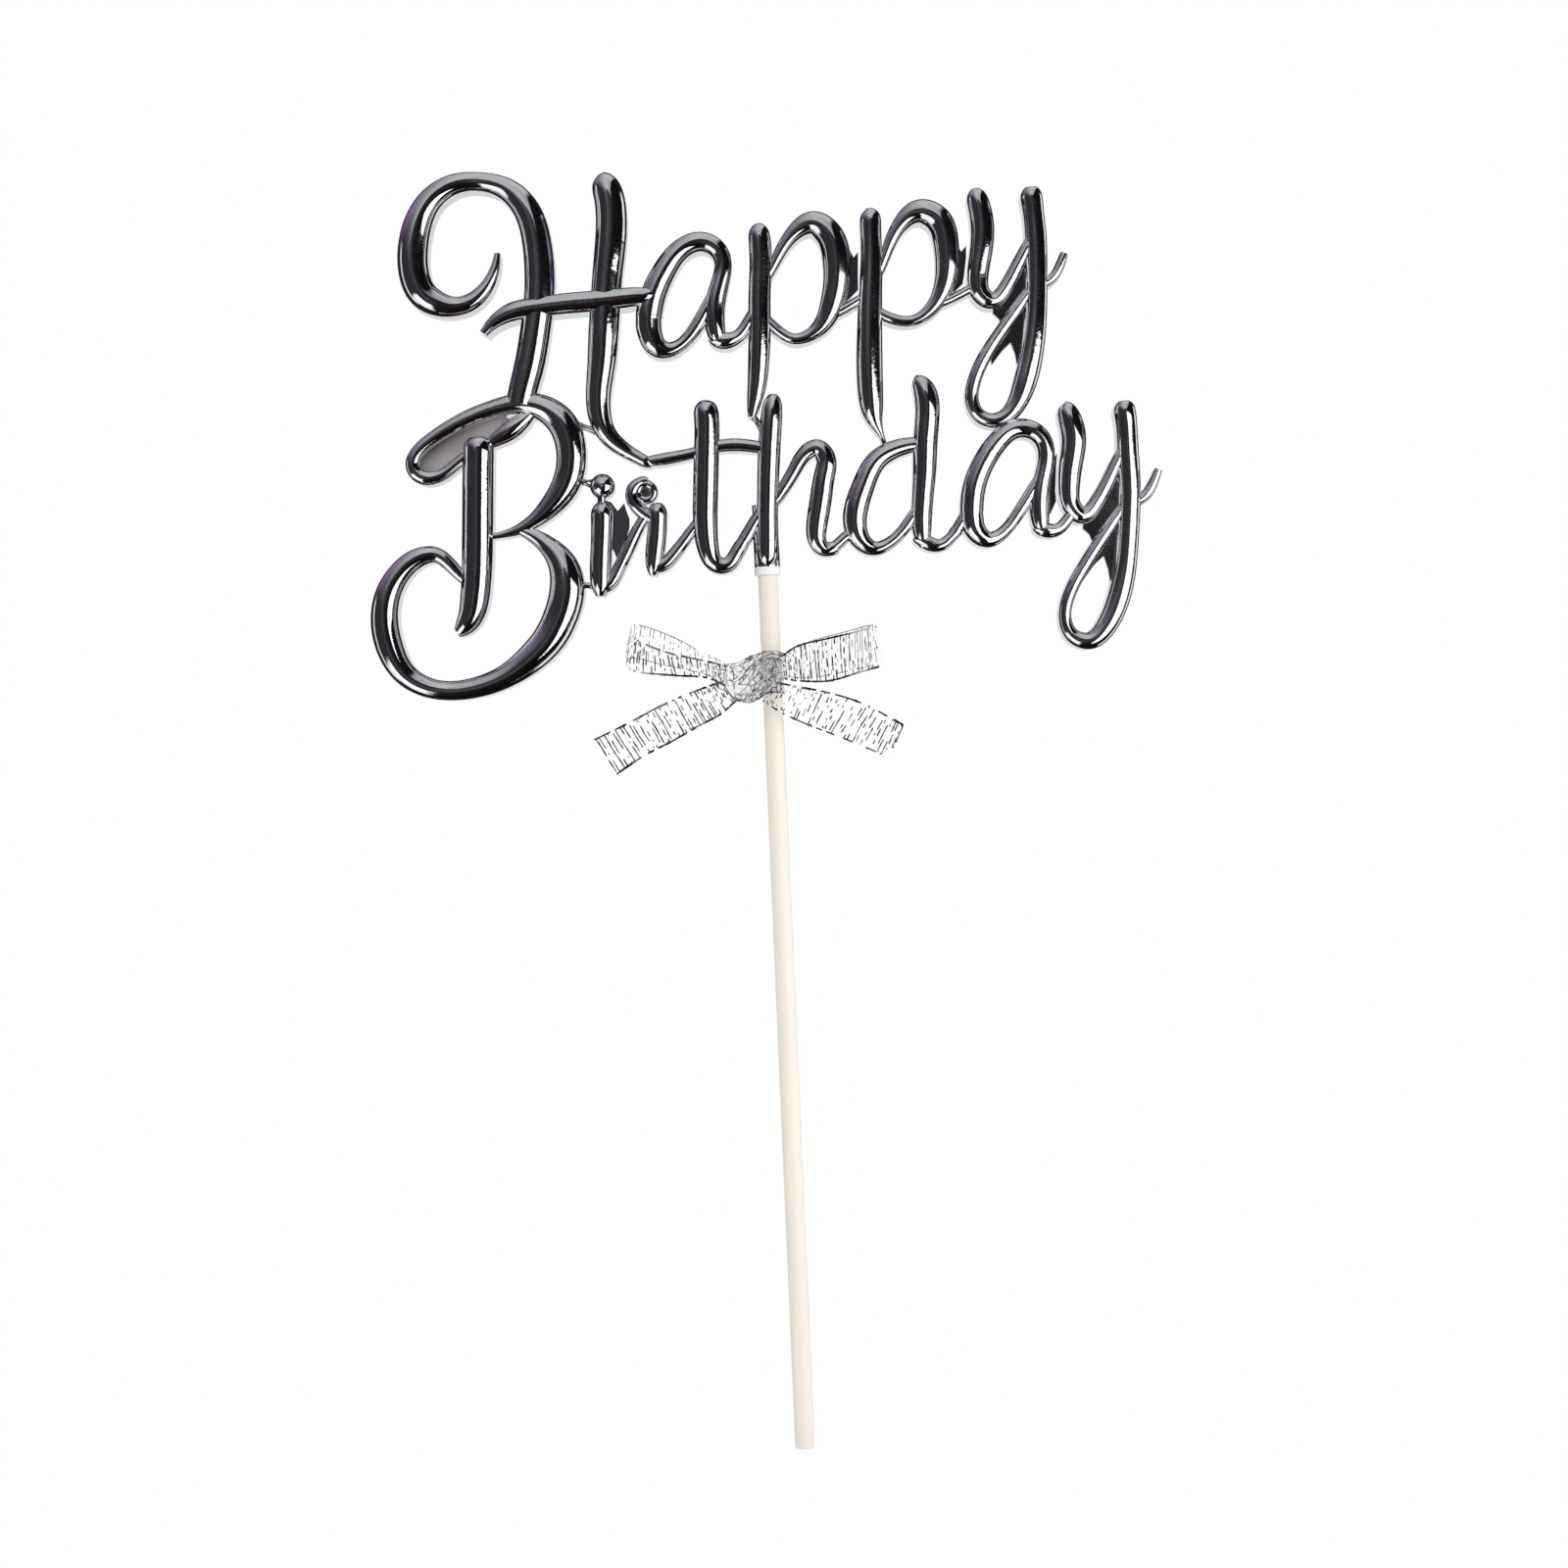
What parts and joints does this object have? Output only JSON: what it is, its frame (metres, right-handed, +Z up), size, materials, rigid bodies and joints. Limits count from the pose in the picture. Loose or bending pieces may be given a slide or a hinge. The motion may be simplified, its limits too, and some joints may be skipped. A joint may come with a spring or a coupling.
{
  "type": "cake topper",
  "caption": "Cake topper: silver script lettering socketed on a slim round stick, with a sheer ribbon bow tied below it.",
  "frame": {"origin": "centre of the stick's lower end", "axes": "+Z up along the stick, -Y out of the front of the lettering, +X to the right as the lettering is read"},
  "size_m": [0.1218, 0.0071, 0.1972],
  "materials": {
    "plated_plastic": "silver vacuum plating on moulded plastic",
    "cream_stick": "smooth cream",
    "sheer_ribbon": "sheer weave with silver threads"
  },
  "bodies": {
    "stick": {"stick": "cream_stick"},
    "lettering": {"capital_h": "plated_plastic", "first_a": "plated_plastic", "first_p": "plated_plastic", "second_p": "plated_plastic", "first_y": "plated_plastic", "capital_b": "plated_plastic", "letter_i": "plated_plastic", "letter_r": "plated_plastic", "letter_t": "plated_plastic", "letter_h": "plated_plastic", "letter_d": "plated_plastic", "second_a": "plated_plastic", "second_y": "plated_plastic"},
    "bow": {"ribbon_wrap": "sheer_ribbon", "ribbon_knot": "sheer_ribbon", "left_loop": "sheer_ribbon", "right_loop": "sheer_ribbon", "left_tail": "sheer_ribbon", "right_tail": "sheer_ribbon"}
  },
  "joints": [
    {"name": "lettering_pull", "type": "slide", "parent": "stick", "child": "lettering", "axis": [0, 0, 1], "range_m": [0, 0.01]},
    {"name": "bow_slide", "type": "slide", "parent": "stick", "child": "bow", "axis": [0, 0, 1], "range_m": [-0.112, 0.003]}
  ]
}
